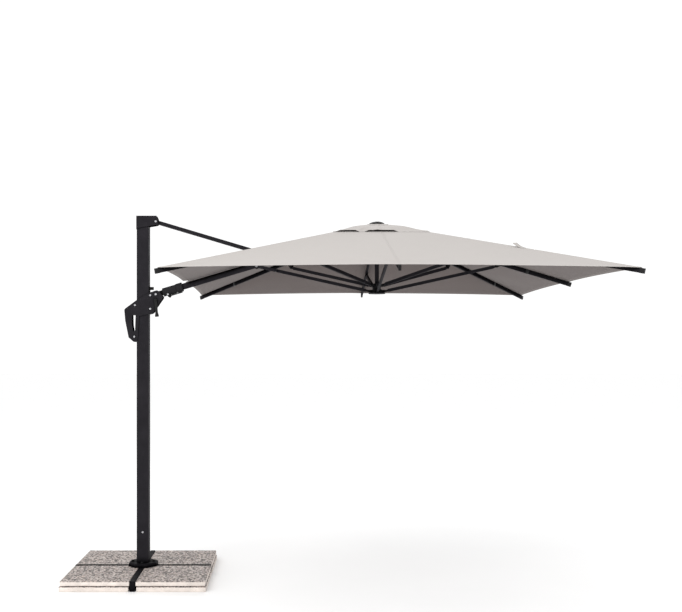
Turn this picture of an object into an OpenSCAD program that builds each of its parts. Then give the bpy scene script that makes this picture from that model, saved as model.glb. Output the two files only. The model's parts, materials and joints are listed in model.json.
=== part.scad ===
// Cantilever parasol: a mast on a slab-weighted cross base carries a strut and a sliding arm,
// and the arm holds a square canopy on seven ribs. Millimetres, +Z up.
// The origin is on the ground on the mast's axis. +X runs from the mast to the canopy.

/* [Canopy] */
// Side of the square fabric roof, hem to hem
canopy_side = 2980; // [2960:5:2990]
// Distance from the mast's axis to the canopy's centre
reach = 1805; // [1800:1:1815]
// Height of the fabric's underside at the middle of a side
side_z = 2262; // [2255:1:2265]
// Height of the fabric's underside at a corner
corner_z = 2243; // [2235:1:2245]
// Height of the side panels' ridge line where it reaches the hub
side_top_z = 2690; // [2686:1:2694]
// Height of the corner ridge line where it reaches the hub
corner_top_z = 2700; // [2698:1:2704]
// Thickness of the fabric
fabric_t = 3; // [2:0.5:4]
// Side of the square opening under the vent flap
vent_hole = 600; // [560:10:620]
// Side of the vent flap
vent_side = 710; // [700:10:720]

/* [Ribs and stretchers] */
// Width of a rib
rib_w = 14; // [12:1:14]
// Height of a rib
rib_h = 32; // [28:1:32]
// Width of a stretcher
stretcher_w = 16; // [14:1:16]
// Height of a stretcher
stretcher_h = 24; // [20:1:24]
// Radius of the circle of hinge pins on the hub and on the runner
pin_circle_r = 60; // [60:1:62]
// Distance from the hub's axis to the hinge between rib and stretcher
bracket_r = 930; // [925:5:935]
// Height of the hub's lower row of pins
hub_z = 2576; // [2574:1:2578]
// Height of the runner's lower row of pins
runner_z = 2190; // [2188:1:2192]
// Step up from the lower row of pins to the upper row
tier = 45; // [44:1:46]

/* [Arm and strut] */
// Slope of the open arm above level, degrees
arm_slope = 16.6; // [16.5:0.05:16.7]
// Distance from the mast's axis to the strut's pin and the slider's pin
pivot_x = 101; // [100:1:102]
// Height of the strut's pin in the head
head_z = 2724; // [2722:1:2726]
// Height of the arm's pin in the slider, canopy open
slider_z = 2164; // [2162:1:2166]
// Outer diameter of the arm tube
arm_d = 48; // [48:1:50]
// Wall of the arm tube
arm_wall = 3; // [2.5:0.5:3]
// Width of the strut
strut_w = 40; // [38:1:44]
// Height of the strut
strut_h = 28; // [24:1:28]

/* [Mast] */
// Width of the mast along the arm's direction
mast_w = 92; // [90:1:94]
// Depth of the mast
mast_d = 80; // [80:1:80]
// Wall of the mast
mast_wall = 4; // [3:0.5:5]
// Height of the mast's top end
mast_top = 2760; // [2758:1:2761]

/* [Base] */
// Side of a ballast slab
slab_side = 500; // [490:5:500]
// Thickness of a ballast slab
slab_t = 37; // [35:1:37]
// Width of the base cross's bars
cross_w = 38; // [36:1:42]
// Gap between a slab and a bar
slab_gap = 4; // [3:1:8]
// Width of the mast's octagonal foot plate across flats
flange_w = 216; // [210:1:224]
// Thickness of the foot plate
flange_t = 28; // [24:1:30]

/* [Hidden] */
$fn = 48;
clear = 0.05;
play = 0.3;
pin_d = 8;
axle_d = 12;
steel = [0.78, 0.78, 0.79];
charcoal = [0.22, 0.21, 0.23];
black = [0.09, 0.09, 0.10];
ecru = [0.84, 0.82, 0.79];
pebble = [0.62, 0.57, 0.50];

base_half = cross_w / 2 + slab_gap + slab_side;
cross_h = 2 * slab_t + 0.5;
flange_top = cross_h + flange_t;
half_side = canopy_side / 2;
rib_gap = rib_h / 2 + 2.5;
tip_past_hem = 12;

// Triangle of the arm and the strut: equal sides that meet at the swivel ring
link = (head_z - slider_z) / 2 / sin(arm_slope);
// The arm's own line, measured from the slider's pin
function along(x, z) = (x - pivot_x) * cos(arm_slope) + (z - slider_z) * sin(arm_slope);
function above(x, z) = (z - slider_z) * cos(arm_slope) - (x - pivot_x) * sin(arm_slope);
arm_eye_u = along(reach - pin_circle_r, hub_z);
arm_eye_n = above(reach - pin_circle_r, hub_z);
bracket_z = (hub_z + runner_z) / 2;
arm_bracket_u = along(reach - bracket_r, bracket_z);
arm_bracket_n = above(reach - bracket_r, bracket_z);
sleeve_u = 54;
ring_u = 161.5;
tube_u = 170;
tube_end_u = arm_eye_u - 52;
stretcher_len = norm([bracket_r - pin_circle_r, (hub_z - runner_z) / 2]);
stretcher_slope = asin((hub_z - runner_z) / 2 / stretcher_len);

// Ribs: name, direction seen from above, and whether it runs to a corner
RIBS = [
    ["right", 0, false],
    ["back_right", 45, true],
    ["back", 90, false],
    ["back_left", 135, true],
    ["front_left", 225, true],
    ["front", 270, false],
    ["front_right", 315, true]
];
SPOKES = concat([for (r = RIBS) [r[1], r[2]]], [[180, false]]);
// Slabs of the upper layer: name and quadrant
SLABS = [
    ["front_left", [-1, -1]],
    ["front_right", [1, -1]],
    ["back_left", [-1, 1]],
    ["back_right", [1, 1]]
];
// Guide rollers: name, side of the mast, height
ROLLERS = [
    ["outer", -1, 2080],
    ["inner_upper", 1, 2156],
    ["inner_lower", 1, 2052]
];
roller_r = 12.6;
roller_x = mast_w / 2 + roller_r + 0.4;
plate_in = mast_d / 2 + 0.6;
plate_t = 4;
plate_out = plate_in + plate_t;
lock_pos = [100, 2118];
grip_pos = [-104, 1935];
handle_bolt = [-64, 1838];

// ---- helpers ----

// Cylinder along Y, centred on y = 0
module bar_y(d, len) {
    rotate([90, 0, 0]) cylinder(d = d, h = len, center = true);
}

// Plate in the XZ plane between two values of y
module plate_xz(y0, y1) {
    translate([0, y1, 0]) rotate([90, 0, 0]) linear_extrude(y1 - y0) children();
}

module box_tube(len, w, h, wall) {
    difference() {
        translate([0, -w / 2, -h / 2]) cube([len, w, h]);
        translate([-1, -w / 2 + wall, -h / 2 + wall]) cube([len + 2, w - 2 * wall, h - 2 * wall]);
    }
}

module on_arm() {
    translate([pivot_x, 0, slider_z]) rotate([0, -arm_slope, 0]) children();
}

module on_strut() {
    translate([pivot_x, 0, head_z]) rotate([0, arm_slope, 0]) children();
}

// Radial frame of a spoke: X outward from the hub's axis, Z up
module spoke(direction) {
    translate([reach, 0, 0]) rotate([0, 0, direction]) children();
}

// Bolt along Y through (x, z): shank, and a washer-faced head at each end
module bolt_y(x, z, d, reach_y, head_d, head_t) {
    translate([x, 0, z]) {
        bar_y(d, 2 * reach_y);
        for (s = [-1, 1]) {
            translate([0, s * (reach_y + head_t / 2), 0]) bar_y(head_d, head_t);
        }
    }
}

// ---- base ----

module base_cross() {
    inner = cross_w - 8;
    color(charcoal) difference() {
        for (turn = [0, 90]) {
            rotate([0, 0, turn]) translate([-base_half, -cross_w / 2, 0]) cube([2 * base_half, cross_w, cross_h]);
        }
        for (turn = [0, 90]) {
            rotate([0, 0, turn]) translate([-base_half + 4, -inner / 2, 4])
                cube([2 * base_half - 8, inner, cross_h - 8]);
            rotate([0, 0, turn]) for (s = [-1, 1]) {
                translate([s * 80, 0, cross_h - 5]) cylinder(d = 12 + 2 * clear, h = 6);
            }
        }
    }
}

module slab(quadrant, z) {
    c = 5;
    near = cross_w / 2 + slab_gap;
    outline = [[c, 0], [slab_side - c, 0], [slab_side, c], [slab_side, slab_side - c],
               [slab_side - c, slab_side], [c, slab_side], [0, slab_side - c], [0, c]];
    mirror([quadrant[0] < 0 ? 1 : 0, 0, 0]) mirror([0, quadrant[1] < 0 ? 1 : 0, 0])
        translate([near, near, z]) linear_extrude(slab_t) polygon(outline);
}

module slabs_lower() {
    color(pebble) for (s = SLABS) {
        slab(s[1], 0);
    }
}

module slab_upper(quadrant) {
    color(pebble) slab(quadrant, slab_t);
}

module foot_plate() {
    chamfer = 10;
    round_d = flange_w / cos(22.5);
    color(charcoal) difference() {
        hull() {
            translate([0, 0, cross_h]) rotate([0, 0, 22.5]) cylinder(d = round_d, h = flange_t - chamfer, $fn = 8);
            translate([0, 0, cross_h]) rotate([0, 0, 22.5])
                cylinder(d = round_d - 2 * chamfer, h = flange_t, $fn = 8);
        }
        for (turn = [0:90:270]) {
            rotate([0, 0, turn]) translate([80, 0, cross_h - 1]) cylinder(d = 13, h = flange_t + 2);
        }
    }
}

module foot_bolts() {
    color(black) for (turn = [0:90:270]) {
        rotate([0, 0, turn]) translate([80, 0, 0]) {
            translate([0, 0, cross_h - 20]) cylinder(d = 12, h = flange_t + 20);
            translate([0, 0, flange_top]) cylinder(d = 24, h = 2);
            translate([0, 0, flange_top + 2]) cylinder(d = 20, h = 8, $fn = 6);
        }
    }
}

// ---- mast ----

spigot_top = 400;
spigot_w = mast_w - 2 * mast_wall - 0.4;
spigot_d = mast_d - 2 * mast_wall - 0.4;
foot_screw_z = 334;

module foot_spigot() {
    color(charcoal) difference() {
        translate([-spigot_w / 2, -spigot_d / 2, flange_top]) cube([spigot_w, spigot_d, spigot_top - flange_top]);
        translate([-spigot_w / 2 + 5, -spigot_d / 2 + 5, flange_top - 1])
            cube([spigot_w - 10, spigot_d - 10, spigot_top]);
        translate([0, 0, foot_screw_z]) bar_y(8 + 2 * clear, mast_d);
    }
}

module foot_screws() {
    color(steel) for (s = [-1, 1]) {
        translate([0, s * (mast_d / 2 - 5), foot_screw_z]) bar_y(8, 18);
        translate([0, s * (mast_d / 2 + 2), foot_screw_z]) bar_y(15, 4);
    }
}

module mast_tube() {
    color(charcoal) difference() {
        translate([-mast_w / 2, -mast_d / 2, flange_top]) cube([mast_w, mast_d, mast_top - flange_top]);
        translate([-mast_w / 2 + mast_wall, -mast_d / 2 + mast_wall, flange_top - 1])
            cube([mast_w - 2 * mast_wall, mast_d - 2 * mast_wall, mast_top]);
        translate([0, 0, foot_screw_z]) bar_y(8 + 2 * clear, mast_d + 2);
    }
}

module head_bracket() {
    wall = 5;
    fit = 0.2;
    outline = [[-49, 2664], [-49, 2768], [106, 2768], [118, 2735], [118, 2712], [108, 2700], [50, 2690],
               [-20, 2677]];
    inside = mast_d / 2 + fit;
    color(charcoal) difference() {
        plate_xz(-inside - wall, inside + wall) polygon(outline);
        translate([-mast_w / 2 - fit, -inside, 2600]) cube([300, 2 * inside, mast_top + 2 - 2600]);
        translate([pivot_x, 0, head_z]) bar_y(axle_d + 2 * clear, 200);
        translate([pivot_x, 0, head_z + 18]) bar_y(6, 200);
    }
}

module head_pin() {
    color(steel) bolt_y(pivot_x, head_z, axle_d, mast_d / 2 + 5.2, 16, 4);
}

// Rubber stop: a foot that the slider's top roller meets, a back plate and a knob
module stop_buffer() {
    foot_z = ROLLERS[1][2] + roller_r + 0.4;
    color(black) translate([mast_w / 2, 0, foot_z]) {
        translate([0, -16, 0]) cube([6, 32, 54]);
        translate([0, -16, 0]) cube([25, 32, 12]);
        translate([0, 0, 42]) rotate([0, 90, 0]) cylinder(d = 24, h = 33);
    }
}

// ---- strut ----

strut_start = 24;
fork_in = 34.3;
fork_t = 6;
fork_block = link - 190;

module strut_tube() {
    color(charcoal) on_strut() translate([strut_start, 0, 0])
        box_tube(fork_block - strut_start, strut_w, strut_h, 3);
}

module strut_head_eye() {
    color(black) on_strut() difference() {
        union() {
            bar_y(34, mast_d - 0.4);
            translate([10, -strut_w / 2, -12]) cube([strut_start - 10, strut_w, 24]);
            translate([strut_start, -strut_w / 2 + 3.1, -strut_h / 2 + 3.1])
                cube([60, strut_w - 6.2, strut_h - 6.2]);
        }
        bar_y(axle_d + 2 * clear, 200);
    }
}

module strut_fork() {
    wide = 2 * (fork_in + fork_t);
    color(black) on_strut() difference() {
        union() {
            translate([fork_block - 60, -strut_w / 2 + 3.1, -strut_h / 2 + 3.1])
                cube([60, strut_w - 6.2, strut_h - 6.2]);
            translate([fork_block, -wide / 2, -strut_h / 2]) cube([20, wide, strut_h]);
            for (s = [-1, 1]) {
                translate([fork_block + 10, s * (fork_in + fork_t / 2) - fork_t / 2, -strut_h / 2])
                    cube([link - fork_block - 10, fork_t, strut_h]);
                translate([link, s * (fork_in + fork_t / 2), 0]) bar_y(strut_h, fork_t);
            }
        }
        translate([link, 0, 0]) bar_y(10 + 2 * clear, 200);
    }
}

// ---- arm carrier: the parts that don't turn with the canopy's tilt ----

module arm_knuckle() {
    color(black) on_arm() difference() {
        union() {
            bar_y(38, 2 * plate_in - 0.6);
            translate([8, -22, -19]) cube([sleeve_u - 8, 44, 38]);
            translate([30, 0, 0]) rotate([0, 90, 0]) cylinder(d = arm_d - 2 * arm_wall - 2 * clear, h = 390);
        }
        bar_y(axle_d + 2 * clear, 200);
    }
}

lever_pin_u = 95;
lever_pin_n = -42;
clamp_u = 88;
clamp_n = -26;

module collar_sleeve() {
    color(black) on_arm() difference() {
        union() {
            translate([sleeve_u, 0, 0]) rotate([0, 90, 0]) cylinder(d = 66, h = ring_u - sleeve_u - play);
            for (s = [-1, 1]) {
                translate([lever_pin_u - 13, s * 11 - 3, lever_pin_n]) cube([26, 6, 24]);
                translate([lever_pin_u, s * 11, lever_pin_n]) bar_y(20, 6);
                translate([clamp_u, s * 21, clamp_n]) bar_y(18, 14);
            }
        }
        translate([sleeve_u - 1, 0, 0]) rotate([0, 90, 0]) cylinder(d = arm_d - 2 * arm_wall, h = 200);
        translate([lever_pin_u, 0, lever_pin_n]) bar_y(pin_d + 2 * clear, 60);
        translate([clamp_u, 0, clamp_n]) bar_y(pin_d + 2 * clear, 60);
        translate([lever_pin_u - 14, -8, lever_pin_n - 20]) cube([28, 16, 31]);
    }
}

module collar_bolt() {
    color(steel) on_arm() bolt_y(clamp_u, clamp_n, pin_d, 28, 15, 4);
}

module swivel_ring() {
    color(black) on_arm() translate([link, 0, 0]) difference() {
        rotate([0, 90, 0]) cylinder(d = 64, h = 40, center = true);
        rotate([0, 90, 0]) cylinder(d = arm_d + 2 * clear, h = 60, center = true);
        bar_y(10, 100);
    }
}

module swivel_pins() {
    color(steel) on_arm() translate([link, 0, 0]) for (s = [-1, 1]) {
        translate([0, s * 34, 0]) bar_y(10, 15);
        translate([0, s * 43, 0]) bar_y(18, 4);
    }
}

// ---- arm: the parts that turn with the canopy's tilt ----

module arm_tube() {
    color(charcoal) on_arm() difference() {
        translate([tube_u, 0, 0]) rotate([0, 90, 0]) cylinder(d = arm_d, h = tube_end_u - tube_u);
        translate([tube_u - 1, 0, 0]) rotate([0, 90, 0]) cylinder(d = arm_d - 2 * arm_wall, h = tube_end_u);
        translate([arm_bracket_u, 0, arm_bracket_n]) bar_y(10 + 2 * clear, 100);
    }
}

module collar_ring() {
    color(black) on_arm() difference() {
        translate([ring_u, 0, 0]) rotate([0, 90, 0]) cylinder(d = 72, h = 49);
        translate([ring_u - 1, 0, 0]) rotate([0, 90, 0]) cylinder(d = arm_d - 2 * arm_wall, h = 60);
        translate([tube_u, 0, 0]) rotate([0, 90, 0]) cylinder(d = arm_d, h = 60);
    }
}

module stop_rings() {
    color(black) on_arm() for (s = [-1, 1]) {
        translate([link + s * 26.4, 0, 0]) difference() {
            rotate([0, 90, 0]) cylinder(d = 58, h = 12, center = true);
            rotate([0, 90, 0]) cylinder(d = arm_d, h = 20, center = true);
        }
    }
}

module arm_end_eye() {
    color(black) on_arm() difference() {
        union() {
            translate([tube_end_u - 60, 0, 0]) rotate([0, 90, 0])
                cylinder(d = arm_d - 2 * arm_wall - 0.2, h = 60);
            translate([tube_end_u, 0, 0]) rotate([0, 90, 0]) cylinder(d = arm_d - 4, h = 8);
            hull() {
                translate([tube_end_u, -12, -20]) cube([8, 24, 28]);
                translate([arm_eye_u, 0, arm_eye_n]) bar_y(24, 24);
            }
        }
        translate([arm_eye_u, 0, arm_eye_n]) bar_y(pin_d + 2 * clear, 60);
    }
}

module arm_bracket_pin() {
    color(steel) on_arm() bolt_y(arm_bracket_u, arm_bracket_n, 10, 31, 18, 4);
}

// ---- slider ----

// Side plate outline: a swept body round the mast and a D-shaped handle below its outer corner
plate_outline = [
    [-141, 2045], [-132, 2056], [-46, 2120], [46, 2174], [98, 2192], [112, 2194], [124, 2188], [154, 2148],
    [155, 2138], [104, 2064], [80, 2023], [66, 2015], [-26, 1996], [-37, 1830], [-42, 1802], [-56, 1796],
    [-72, 1800], [-108, 1832], [-134, 1962]
];
finger_hole = [[-84, 2006], [-54, 2002], [-58, 1886], [-64, 1876], [-74, 1880], [-82, 1930]];

module slider_plate(side) {
    y_mid = side * (plate_in + plate_t / 2);
    color(charcoal) difference() {
        plate_xz(y_mid - plate_t / 2, y_mid + plate_t / 2) difference() {
            polygon(plate_outline);
            polygon(finger_hole);
        }
        for (r = ROLLERS) {
            translate([r[1] * roller_x, 0, r[2]]) bar_y(pin_d + 2 * clear, 200);
        }
        for (p = [handle_bolt, grip_pos]) {
            translate([p[0], 0, p[1]]) bar_y(pin_d + 2 * clear, 200);
        }
        translate([pivot_x, 0, slider_z]) bar_y(axle_d + 2 * clear, 200);
        if (side < 0) {
            translate([lock_pos[0], 0, lock_pos[1]]) bar_y(pin_d + 2 * clear, 200);
        }
    }
}

// Hand grip: a bar between the plates, with a flush peg in a hole of each plate
module slider_grip() {
    lean = -11;
    color(black) translate([grip_pos[0], 0, grip_pos[1]]) rotate([0, lean, 0]) {
        translate([-11, -plate_in + 0.3, -50]) cube([20, 2 * plate_in - 0.6, 100]);
        bar_y(pin_d, 2 * plate_out);
    }
}

module slider_bolts() {
    color(steel) {
        for (r = ROLLERS) {
            bolt_y(r[1] * roller_x, r[2], pin_d, plate_out, 15, 4);
        }
        bolt_y(handle_bolt[0], handle_bolt[1], pin_d, plate_out, 15, 4);
    }
}

module arm_pin() {
    color(steel) bolt_y(pivot_x, slider_z, axle_d, plate_out, 16, 4);
}

module roller(side, z) {
    color(black) translate([side * roller_x, 0, z]) difference() {
        bar_y(2 * roller_r, 76);
        bar_y(pin_d + 2 * clear, 100);
    }
}

// ---- levers ----

module slider_lock_lever() {
    len = 128;
    t = 7;
    lean = 5;
    y_mid = -plate_out - 0.6 - t / 2;
    grip = [[-11, -4], [-9, -60], [-9, -95], [-15, -len + 6], [-12, -len], [12, -len], [16, -len + 6],
            [10, -95], [10, -60], [11, -4]];
    color(black) translate([lock_pos[0], 0, lock_pos[1]]) {
        plate_xz(y_mid - t / 2, y_mid + t / 2) union() {
            rotate(lean) polygon(grip);
            circle(d = 26);
        }
        translate([0, y_mid - t / 2 - 2, 0]) bar_y(14, 4);
        translate([0, -plate_out / 2 - plate_in / 2 - 1.5, 0]) bar_y(pin_d, plate_t + 3);
    }
}

module tilt_lock_lever() {
    len = 104;
    color(black) on_arm() translate([lever_pin_u, 0, lever_pin_n]) {
        bar_y(12, 15.4);
        bar_y(pin_d, 36);
        translate([0, -7.5, -1]) cube([len - 11, 15, 6]);
        translate([0, -7.5, -1]) cube([60, 15, 9]);
        translate([len - 11, 0, -1]) cylinder(d = 22, h = 6);
    }
}

// ---- hub, post, crown ----

// Pair of ears that hold a hinge pin on a spoke
module ears(direction, pin_z, root_r, gap, t) {
    spoke(direction) translate([pin_circle_r, 0, pin_z]) for (s = [-1, 1]) {
        difference() {
            union() {
                translate([root_r - pin_circle_r, s * (gap + t / 2) - t / 2, -10])
                    cube([pin_circle_r - root_r, t, 20]);
                translate([0, s * (gap + t / 2), 0]) bar_y(20, t);
            }
            bar_y(pin_d + 2 * clear, 100);
        }
    }
}

function pin_row(is_corner) = is_corner ? tier : 0;
function ear_gap(direction) = direction == 180 ? 12.3 : 5.3;

module hub_casting() {
    color(black) {
        difference() {
            translate([reach, 0, hub_z - 22]) cylinder(r = 40, h = 84);
            translate([reach, 0, hub_z - 23]) cylinder(d = 32, h = 60);
            translate([reach, 0, hub_z]) cylinder(d = 10, h = 100);
        }
        for (s = SPOKES) {
            ears(s[0], hub_z + pin_row(s[1]), 38, ear_gap(s[0]), 4);
        }
    }
}

// Hinge pins for every spoke of the hub or of the runner
module spoke_pins(z, arm_gap) {
    for (s = SPOKES) {
        half = (s[0] == 180 ? arm_gap : 5.3) + 4;
        spoke(s[0]) bolt_y(pin_circle_r, z + pin_row(s[1]), pin_d, half, 12, 2);
    }
}

module hub_pins() {
    color(steel) spoke_pins(hub_z, 12.3);
}

module centre_post() {
    foot = 22;
    color(charcoal) translate([reach, 0, runner_z - foot]) difference() {
        cylinder(d = 32, h = hub_z + 36 - runner_z + foot);
        translate([0, 0, -1]) cylinder(d = 26, h = 40);
    }
}

crown_z = 2713;
crown_r = 59;

module crown_cap() {
    dome_r = 118;
    color(black) {
        translate([reach, 0, crown_z]) intersection() {
            translate([0, 0, 16 - dome_r]) sphere(r = dome_r, $fn = 96);
            cylinder(r = crown_r, h = 30);
        }
        translate([reach, 0, hub_z + 40]) cylinder(d = 10, h = crown_z - hub_z - 40);
    }
}

// ---- fabric ----

hub_r = pin_circle_r;
function side_ridge(r) = side_top_z - (r - hub_r) * (side_top_z - side_z) / (half_side - hub_r);
function corner_ridge(r) =
    corner_top_z - (r - hub_r) * (corner_top_z - corner_z) / (half_side * sqrt(2) - hub_r);

// Eight points of a square ring of half side h, lifted by dz above the main ridge lines
function square_ring(h, dz) = [
    for (i = [0:7]) let (
        corner = i % 2 == 1,
        r = corner ? h * sqrt(2) : h
    ) [reach + r * cos(45 * i), r * sin(45 * i), (corner ? corner_ridge(r) : side_ridge(r)) + dz]
];

// Closed skin between an inner ring and an outer ring of eight points each
module skin(inner, outer, t) {
    up = [0, 0, t];
    points = concat(inner, outer, [for (p = inner) p + up], [for (p = outer) p + up]);
    faces = [for (i = [0:7]) let (j = (i + 1) % 8) each [
        [i, i + 8, j + 8], [i, j + 8, j],
        [i + 16, j + 24, i + 24], [i + 16, j + 16, j + 24],
        [i + 8, i + 24, j + 24], [i + 8, j + 24, j + 8],
        [i, j, j + 16], [i, j + 16, i + 16]
    ]];
    polyhedron(points, [for (f = faces) [f[2], f[1], f[0]]], convexity = 4);
}

module canopy_fabric() {
    slot_x0 = 905;
    slot_x1 = 1270;
    notch_w = 92;
    notch_depth = 30;
    color(ecru) difference() {
        skin(square_ring(vent_hole / 2, 0), square_ring(half_side, 0), fabric_t);
        translate([slot_x0, -44, 2300]) cube([slot_x1 - slot_x0, 88, 400]);
        translate([reach - half_side - 10, -notch_w / 2, 2200]) cube([notch_depth + 10, notch_w, 200]);
    }
}

vent_lift = 28;
apex_r = 12;
apex_z = 2709;

module vent_flap() {
    apex = [for (i = [0:7]) [reach + apex_r * cos(45 * i), apex_r * sin(45 * i), apex_z]];
    color(ecru) skin(apex, square_ring(vent_side / 2, vent_lift), fabric_t);
}

// ---- ribs ----

module rib(direction, is_corner) {
    tip_r = (is_corner ? sqrt(2) : 1) * (half_side + tip_past_hem);
    top_z = (is_corner ? corner_top_z : side_top_z) - rib_gap;
    drop = is_corner ? corner_ridge(hub_r) - corner_ridge(tip_r) : side_ridge(hub_r) - side_ridge(tip_r);
    slope = atan(drop / (tip_r - hub_r));
    len = norm([tip_r - hub_r, drop]);
    pin_z = hub_z + pin_row(is_corner);
    joint_z = bracket_z + pin_row(is_corner);
    start = 26;
    cap = 30;
    // Depth of the stretcher's pin under the rib's centre line, along the rib's own frame
    pin_u = (bracket_r - hub_r) * cos(slope) - (joint_z - top_z) * sin(slope);
    pin_n = (bracket_r - hub_r) * sin(slope) + (joint_z - top_z) * cos(slope);
    eye_u = -(pin_z - top_z) * sin(slope);
    eye_n = (pin_z - top_z) * cos(slope);
    color(charcoal) spoke(direction) translate([hub_r, 0, top_z]) rotate([0, slope, 0]) {
        translate([start, 0, 0]) box_tube(len - start - cap, rib_w, rib_h, 1.8);
        rib_end_fitting(eye_u, eye_n, start);
        rib_bracket(pin_u, pin_n);
        rib_tip_cap(len - cap, cap);
    }
}

// End fitting: a plug in the rib and a tongue with the hinge eye
module rib_end_fitting(eye_u, eye_n, start) {
    color(black) difference() {
        union() {
            translate([start, -rib_w / 2 + 1.9, -rib_h / 2 + 1.9]) cube([40, rib_w - 3.8, rib_h - 3.8]);
            translate([eye_u, 0, eye_n]) bar_y(20, 10);
            plate_xz(-5, 5) polygon([[eye_u - 10, eye_n], [start - 22, 0], [start - 14, rib_h / 2 - 8],
                                     [start, rib_h / 2 - 8], [start, -rib_h / 2], [eye_u + 10, eye_n]]);
        }
        translate([eye_u, 0, eye_n]) bar_y(pin_d + 2 * clear, 40);
    }
}

// Bracket: two cheeks on the rib's sides, with the pin that the stretcher turns on
module rib_bracket(pin_u, pin_n) {
    color(black) for (s = [-1, 1]) {
        y_mid = s * (rib_w / 2 + 1.5);
        difference() {
            union() {
                plate_xz(y_mid - 1.5, y_mid + 1.5)
                    polygon([[pin_u - 34, rib_h / 2 - 3], [pin_u + 34, rib_h / 2 - 3], [pin_u + 30, -rib_h / 2],
                             [pin_u + 10, pin_n - 2], [pin_u - 10, pin_n - 2], [pin_u - 30, -rib_h / 2]]);
                translate([pin_u, y_mid, pin_n]) bar_y(20, 3);
            }
            translate([pin_u, 0, pin_n]) bar_y(pin_d + 2 * clear, 40);
        }
    }
    color(steel) translate([pin_u, 0, pin_n]) bolt_y(0, 0, pin_d, rib_w / 2 + 3, 13, 3);
}

module rib_tip_cap(start, cap) {
    color(black) {
        translate([start - 20, -rib_w / 2 + 1.9, -rib_h / 2 + 1.9]) cube([20, rib_w - 3.8, rib_h - 3.8]);
        translate([start, -rib_w / 2 - 1, -rib_h / 2 - 1]) cube([cap, rib_w + 2, rib_h + 1]);
    }
}

// ---- stretchers ----

// Frame at a stretcher's outer pin, X pointing down the stretcher to the runner
module on_stretcher(direction, is_corner) {
    spoke(direction) translate([bracket_r, 0, bracket_z + pin_row(is_corner)])
        rotate([0, 180 - stretcher_slope, 0]) children();
}

module stretcher(direction, is_corner) {
    color(charcoal) on_stretcher(direction, is_corner) {
        translate([28, 0, 0]) box_tube(stretcher_len - 56, stretcher_w, stretcher_h, 1.8);
        color(black) difference() {
            union() {
                bar_y(18, 13.4);
                translate([0, -6, -8]) cube([27.9, 12, 16]);
                translate([27.8, -stretcher_w / 2 + 1.9, -stretcher_h / 2 + 1.9])
                    cube([30, stretcher_w - 3.8, stretcher_h - 3.8]);
            }
            bar_y(pin_d + 2 * clear, 60);
        }
        color(black) runner_tongue();
    }
}

module runner_tongue() {
    difference() {
        union() {
            translate([stretcher_len, 0, 0]) bar_y(18, 10);
            translate([stretcher_len - 28, -5, -8]) cube([28, 10, 16]);
            translate([stretcher_len - 58, -stretcher_w / 2 + 1.9, -stretcher_h / 2 + 1.9])
                cube([30.1, stretcher_w - 3.8, stretcher_h - 3.8]);
        }
        translate([stretcher_len, 0, 0]) bar_y(pin_d + 2 * clear, 60);
    }
}

// The arm's stretcher forks round the arm tube
module stretcher_arm() {
    inner = arm_d / 2 + 0.8;
    t = 5;
    reach_u = 150;
    wide = 2 * (inner + t);
    color(charcoal) on_stretcher(180, false) {
        translate([reach_u + 10, 0, 0]) box_tube(stretcher_len - reach_u - 38, stretcher_w, stretcher_h, 1.8);
        color(black) difference() {
            union() {
                for (s = [-1, 1]) {
                    translate([0, s * (inner + t / 2) - t / 2, -10]) cube([reach_u, t, 20]);
                    translate([0, s * (inner + t / 2), 0]) bar_y(38, t);
                }
                translate([reach_u - 2, -wide / 2, -10]) cube([12, wide, 20]);
                translate([reach_u + 9.9, -stretcher_w / 2 + 1.9, -stretcher_h / 2 + 1.9])
                    cube([30, stretcher_w - 3.8, stretcher_h - 3.8]);
            }
            bar_y(10 + 2 * clear, 100);
        }
        color(black) runner_tongue();
    }
}

// ---- runner ----

module runner() {
    color(black) {
        difference() {
            union() {
                translate([reach, 0, runner_z - 21]) cylinder(r = 64, h = 8);
                translate([reach, 0, runner_z - 14]) cylinder(r = 42, h = 26);
                translate([reach, 0, runner_z - 20]) cylinder(r = 30, h = tier + 34);
            }
            translate([reach, 0, runner_z - 30]) cylinder(d = 32 + 4 * clear, h = 200);
        }
        for (s = SPOKES) {
            ears(s[0], runner_z + pin_row(s[1]), s[1] ? 26 : 38, 5.3, 4);
        }
    }
}

module runner_pins() {
    color(steel) spoke_pins(runner_z, 5.3);
}

// ---- assembly ----

base_cross();
slabs_lower();
for (s = SLABS) {
    slab_upper(s[1]);
}
foot_plate();
foot_bolts();
foot_spigot();
foot_screws();
mast_tube();
head_bracket();
head_pin();
stop_buffer();
strut_tube();
strut_head_eye();
strut_fork();
arm_knuckle();
collar_sleeve();
collar_bolt();
swivel_ring();
swivel_pins();
arm_tube();
collar_ring();
stop_rings();
arm_end_eye();
arm_bracket_pin();
slider_plate(-1);  // slider_plate_front
slider_plate(1);  // slider_plate_back
slider_grip();
slider_bolts();
arm_pin();
slider_lock_lever();
tilt_lock_lever();
for (r = ROLLERS) {
    roller(r[1], r[2]);
}
hub_casting();
hub_pins();
centre_post();
crown_cap();
canopy_fabric();
vent_flap();
for (r = RIBS) {
    rib(r[1], r[2]);
    stretcher(r[1], r[2]);
}
stretcher_arm();
runner();
runner_pins();
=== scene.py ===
"""Cantilever parasol: cloth, slabs, materials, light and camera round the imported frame.

Metres. +X runs from the mast to the canopy, -Y is the viewer's side, +Z is up. The canopy's spokes are
numbered 0 to 7 from +X towards +Y: even ones run to the middle of a side, odd ones to a corner. Spoke 4 is
the arm. A ring is a square round the hub's axis, named by half its width.
"""

import json
import math

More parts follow.
